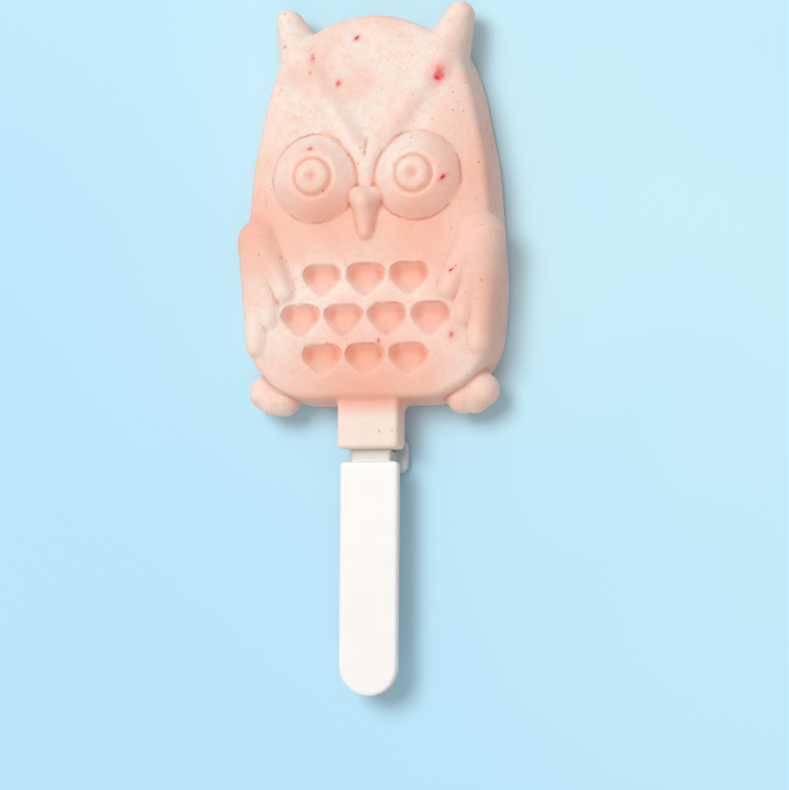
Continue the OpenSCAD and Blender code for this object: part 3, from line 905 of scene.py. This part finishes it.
crowd = yoghurt.ramp(yoghurt.cloud(CROWD_MM, 1.0), 0.38, 0.6, 0.3, 1.0)
in_crease = yoghurt.ramp(yoghurt.stored("crease"), *CREASE_LEVELS, 0.0, CREASE_CROWD)
crowd = yoghurt.math("MAXIMUM", crowd, in_crease)
one_side = yoghurt.ramp(yoghurt.add("SeparateXYZ", {0: yoghurt.place}, "X"), *LEFT_SIDE_MM)
crowd = yoghurt.math("MAXIMUM", crowd, one_side)


def specks(finish, under, size_mm, radius, empty, over, strength):
    """Scatter small uneven dots of one colour, one in some of the cells of a Voronoi pattern."""
    wobble_mm = size_mm * SPECK_WOBBLE
    inputs = {"Vector": finish.place, "Scale": 1 / wobble_mm, "Detail": 1.0}
    wobble = finish.add("TexNoise", inputs, "Color")
    place = finish.add("VectorMath", {0: wobble, "Scale": wobble_mm}, "Vector", operation="SCALE")
    place = finish.add("VectorMath", {0: finish.place, 1: place}, "Vector", operation="ADD")
    cells = {"Vector": place, "Scale": 1 / size_mm}
    near = finish.add("TexVoronoi", cells, "Distance")
    lot = finish.add("SeparateColor", {0: finish.add("TexVoronoi", cells, "Color")}, "Red")
    size = finish.ramp(lot, empty, 1.0, SMALLEST_SPECK * radius, radius)
    dot = finish.ramp(finish.math("DIVIDE", near, size), 1.0, SPECK_CORE, 0.0, strength)
    kept = finish.math("GREATER_THAN", lot, empty)
    return finish.tint(finish.all_of(dot, kept, crowd), under, over)


for size_mm, radius, empty, tone, strength in SPECKS:
    mass = specks(yoghurt, mass, size_mm, radius, empty, tone, strength)
print("kinds of speck:", len(SPECKS))

# %% [markdown]
# Pieces of red fruit lie just under the skin. The largest has bled into the yoghurt round it.
# They are listed one by one, as a few flecks at chosen places look more real than an even scatter.
# Each row says where a fleck lies, how long and how wide it is, which way it is turned, how far
# its juice has bled as a multiple of its size, how strong its red is, and how dark its heart.
# A fleck's pattern is stretched through the whole depth, and a ramp by level keeps it in front.

# %% Fruit flecks
FRUIT, FRUIT_DARK, BLEED = colour("#ea5560"), colour("#b42a28"), colour("#f98f8f")
FLECKS_MM = [
    (17.7, 77.4, 2.5, 1.8, 60, 2.3, 0.75, 0.0),
    (17.2, 76.4, 1.0, 0.8, 30, 1.6, 0.9, 0.3),
    (-7.0, 76.2, 1.15, 0.95, 80, 1.8, 0.75, 0.1),
    (-2.6, 87.0, 1.1, 0.6, 40, 1.9, 0.95, 0.9),
    (19.4, 52.4, 1.15, 0.55, 45, 2.3, 1.0, 1.0),
    (-13.0, 60.2, 0.9, 0.75, 0, 2.2, 0.75, 0.1),
    (21.2, 30.6, 0.95, 0.5, 35, 1.9, 0.95, 0.9),
    (22.4, 31.5, 0.5, 0.4, 0, 2.2, 0.6, 0.0),
    (21.0, 15.6, 1.2, 0.95, 70, 2.3, 0.7, 0.1),
    (3.4, 14.6, 0.75, 0.55, 90, 2.2, 0.7, 0.2),
    (-13.4, 82.6, 1.5, 0.6, 84, 1.8, 0.4, 0.0),
    (-13.8, 78.9, 0.7, 0.5, 70, 2.0, 0.45, 0.0),
]
RAGGED, RAGGED_PER_MM = 0.9, 0.9
FRONT_LEVELS = (6.0, 9.0)
THROUGH = 1e6
drop_z = {0: yoghurt.place, 1: (1, 1, 0)}
flat_place = yoghurt.add("VectorMath", drop_z, "Vector", operation="MULTIPLY")
inputs = {"Vector": yoghurt.place, "Scale": RAGGED_PER_MM, "Detail": 2.0}
ragged = yoghurt.add("TexNoise", inputs, "Color")
ragged = yoghurt.add("VectorMath", {0: ragged, 1: (0.5, 0.5, 0.5)}, "Vector", operation="SUBTRACT")
near_front = yoghurt.ramp(level, *FRONT_LEVELS)
for x, y, long_r, short_r, turn, bleed_reach, strength, darkness in FLECKS_MM:
    inputs = {0: ragged, "Scale": RAGGED * long_r}
    place = yoghurt.add("VectorMath", inputs, "Vector", operation="SCALE")
    place = yoghurt.add("VectorMath", {0: place, 1: flat_place}, "Vector", operation="ADD")
    inputs = {
        "Vector": place,
        "Location": (x, y + bottom_y, 0),
        "Rotation": (0, 0, math.radians(turn)),
        "Scale": (long_r, short_r, THROUGH),
    }
    place = yoghurt.add("Mapping", inputs, "Vector", vector_type="TEXTURE")
    away = yoghurt.add("VectorMath", {0: place}, "Value", operation="LENGTH")
    for reach, core, share, tone in (
        (bleed_reach, 0.0, 0.6 * strength, BLEED),
        (1.0, 0.2, strength, FRUIT),
        (0.6, 0.0, darkness, FRUIT_DARK),
    ):
        red = yoghurt.math("MULTIPLY", yoghurt.ramp(away, reach, core, 0.0, share), near_front)
        mass = yoghurt.tint(red, mass, tone)
print("fruit flecks:", len(FLECKS_MM))

# %% [markdown]
# The surface is neither glossy nor dusty: melting ice crystals give it a broad, soft sheen. Fine
# frost grain and small pores are far too small for the mesh, so they are relief in the material.
# Light goes a short way into the mass and comes back warm, so it needs subsurface scattering with
# a reddish reach.

# %% Yoghurt surface
GRAIN_SIZE, GRAIN_MM = 0.7, 0.03
PORE_PITCH, PORE_MM = 1.9, 0.09
SCATTER_MM, SCATTER_REACH = 2.2, (1.0, 0.42, 0.28)
grain = yoghurt.cloud(GRAIN_SIZE, 3.0, 0.6)
pores = yoghurt.add("TexVoronoi", {"Vector": yoghurt.place, "Scale": 1 / PORE_PITCH}, "Distance")
pores = yoghurt.ramp(pores, 0.05, 0.14)
relief = yoghurt.bump(grain, GRAIN_MM)
relief = yoghurt.bump(pores, PORE_MM, relief)
sheen = yoghurt.ramp(yoghurt.cloud(5.0, 3.0), 0.3, 0.7, 0.46, 0.6)
yoghurt.put(yoghurt.shader.inputs["Base Color"], mass)
yoghurt.put(yoghurt.shader.inputs["Roughness"], sheen)
yoghurt.put(yoghurt.shader.inputs["Normal"], relief)
yoghurt.shader.subsurface_method = "RANDOM_WALK"
yoghurt.put(yoghurt.shader.inputs["Subsurface Weight"], 1.0)
yoghurt.put(yoghurt.shader.inputs["Subsurface Radius"], SCATTER_REACH)
yoghurt.put(yoghurt.shader.inputs["Subsurface Scale"], SCATTER_MM * MM)
yoghurt.put(yoghurt.shader.inputs["IOR"], 1.38)
yoghurt.put(yoghurt.shader.inputs["Specular IOR Level"], 0.4)
pop.data.materials.append(yoghurt.material)
print("yoghurt nodes:", len(yoghurt.tree.nodes))

# %% [markdown]
# ## White moulded plastic
# The stick is polypropylene: white, a little translucent at its edges, with the faint satin of a
# steel mould and hair-fine scratches along it from use and washing. Above the handle, under the
# ice, it is painted a darker grey-green as painted shade. The guard tab is the thinnest part; its
# cool blue-grey is painted shade with the sheet's blue painted in, as if seen through it.
# True transmission doesn't suit it: a thick rounded solid bends the view and looks dark.

# %% Stick finish
WHITE, WARM_WHITE = colour("#f3f6f5"), colour("#e9eae4")
GAP_SHADE_GREY, TAB_SHADE_BLUE = colour("#d0d4c5"), colour("#c3d7df")
GAP_SHADE_FADE, TAB_SHADE_FADE = 0.8, 1.0
ALONG_STICK = (1.0, 0.05, 1.0)
SATIN_MM, SCRATCH_MM = 0.004, 0.006
PLASTIC_SCATTER_MM, PLASTIC_REACH = 1.6, (1.0, 0.95, 0.85)
plastic = Finish("white_moulded_plastic")
tone = plastic.tint(plastic.ramp(plastic.cloud(9.0, 3.0), 0.4, 0.7, 0.0, 0.15), WHITE, WARM_WHITE)
along = plastic.add("SeparateXYZ", {0: plastic.place}, "Y")
handle_top = HANDLE_TOP + bottom_y
# Painted shade: the plastic above the handle, in the gap under the ice, is a darker grey-green.
tone = plastic.tint(plastic.ramp(along, handle_top, handle_top + GAP_SHADE_FADE, 0.0, 0.7), tone, GAP_SHADE_GREY)
level = plastic.add("SeparateXYZ", {0: plastic.place}, "Z")
# Painted shade: the guard tab is a cool blue-grey, with the sheet's blue painted in.
tone = plastic.tint(plastic.ramp(level, GUARD_FACE + TAB_SHADE_FADE, GUARD_FACE, 0.0, 0.9), tone, TAB_SHADE_BLUE)
inputs = {0: plastic.place, 1: ALONG_STICK}
long_way = plastic.add("VectorMath", inputs, "Vector", operation="MULTIPLY")
scratches = plastic.cloud(0.35, 2.0, 0.6, long_way)
plastic.put(plastic.shader.inputs["Base Color"], tone)
plastic.put(plastic.shader.inputs["Roughness"], plastic.ramp(scratches, 0.35, 0.7, 0.3, 0.44))
satin = plastic.bump(plastic.cloud(0.25, 2.0), SATIN_MM)
plastic.put(plastic.shader.inputs["Normal"], plastic.bump(scratches, SCRATCH_MM, satin))
plastic.put(plastic.shader.inputs["Subsurface Weight"], 0.7)
plastic.put(plastic.shader.inputs["Subsurface Radius"], PLASTIC_REACH)
plastic.put(plastic.shader.inputs["Subsurface Scale"], PLASTIC_SCATTER_MM * MM)
plastic.put(plastic.shader.inputs["IOR"], 1.49)
stick.data.materials.append(plastic.material)
print("plastic nodes:", len(plastic.tree.nodes))

# %% [markdown]
# ## Stand-ins for the CAD solids
# The sculpted pieces stand exactly where the CAD solids are, so those are hidden, and the new
# pieces ride on the same rigid body.

# %% Take the solids' places
for piece, node, slot in ((pop, "frozen_pop", "frozen_yoghurt"), (stick, "stick", "white_plastic")):
    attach(piece, "root")
    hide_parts(node)
    print(piece.name, "stands for", node)

# %% [markdown]
# ## Floor
# The pop lies on its flat back on a pale blue sheet, which takes the pop's soft shadow. A large
# plane is enough; anything more would draw the eye away. A sheet of this blue would tint the
# sides of the pop from below, so the light that it sends back up is a plain grey, and only the
# camera and mirror-like rays see the blue.

# %% Floor
FLOOR_BLUE, DEEP_BLUE_AND_SHADE, BOUNCE = colour("#caf3ff"), colour("#b8e8ff"), colour("#cccacb")
FLOOR_REACH = 3
corners = [(FLOOR_REACH * x, FLOOR_REACH * y, 0) for x, y in ((-1, -1), (1, -1), (1, 1), (-1, 1))]
floor_mesh = bpy.data.meshes.new("floor")
floor_mesh.from_pydata(corners, [], [(0, 1, 2, 3)])
floor = bpy.data.objects.new("floor", floor_mesh)
bpy.context.scene.collection.objects.link(floor)
sheet = Finish("pale_sheet")
aslant = sheet.add("VectorMath", {0: sheet.place, 1: (0.7, 0.7, 0)}, "Value", operation="DOT_PRODUCT")
# Painted shade: the sheet turns a deeper blue towards one corner, a painted falloff of light; the
# cloud below is the sheet's own uneven tone.
blue = sheet.tint(sheet.ramp(aslant, 90.0, -100.0), FLOOR_BLUE, DEEP_BLUE_AND_SHADE)
blue = sheet.tint(sheet.ramp(sheet.cloud(90.0, 2.0), 0.3, 0.7, 0.0, 0.3), blue, DEEP_BLUE_AND_SHADE)
ray = sheet.tree.nodes.new("ShaderNodeLightPath").outputs
seen = sheet.math("MAXIMUM", ray["Is Camera Ray"], ray["Is Glossy Ray"])
seen = sheet.math("MAXIMUM", seen, ray["Is Transmission Ray"])
sheet.put(sheet.shader.inputs["Base Color"], sheet.tint(seen, BOUNCE, blue))
sheet.put(sheet.shader.inputs["Roughness"], 0.9)
sheet.put(sheet.shader.inputs["Specular IOR Level"], 0.1)
floor_mesh.materials.append(sheet.material)
print("floor in m:", 2 * FLOOR_REACH)

# %% [markdown]
# ## Light
# A large soft window light stands to the upper left and in front of the pop, as the shading of
# the photograph tells: the lower right sides of all forms are darker. A weak warm lamp beyond the
# pop's feet and the pale world fill the shadows.

# %% Lamps and world
POP_MIDDLE = Vector((0, 0, 0.01))
ROOM_STRENGTH = 0.48


def soft_light(name, position, size, watts, tone):
    """A square area light that faces the middle of the pop."""
    lamp = bpy.data.lights.new(name, "AREA")
    lamp.shape = "SQUARE"
    lamp.size = size
    lamp.energy = watts
    lamp.color = colour(tone)[:3]
    holder = bpy.data.objects.new(name, lamp)
    bpy.context.scene.collection.objects.link(holder)
    holder.location = position
    holder.rotation_mode = "QUATERNION"
    holder.rotation_quaternion = (Vector(position) - POP_MIDDLE).to_track_quat("Z", "Y")


soft_light("window", (-0.95, 1.15, 3.3), 1.7, 75, "#fffcfa")
soft_light("below", (0.4, -1.9, 2.2), 2.0, 13, "#ffdfca")
world = bpy.data.worlds.new("pale_room")
world.use_nodes = True
room = world.node_tree.nodes["Background"].inputs
room["Color"].default_value = colour("#f3f1f2")
room["Strength"].default_value = ROOM_STRENGTH
bpy.context.scene.world = world
bpy.context.scene.view_settings.view_transform = "Standard"
print("lamps: window, below")
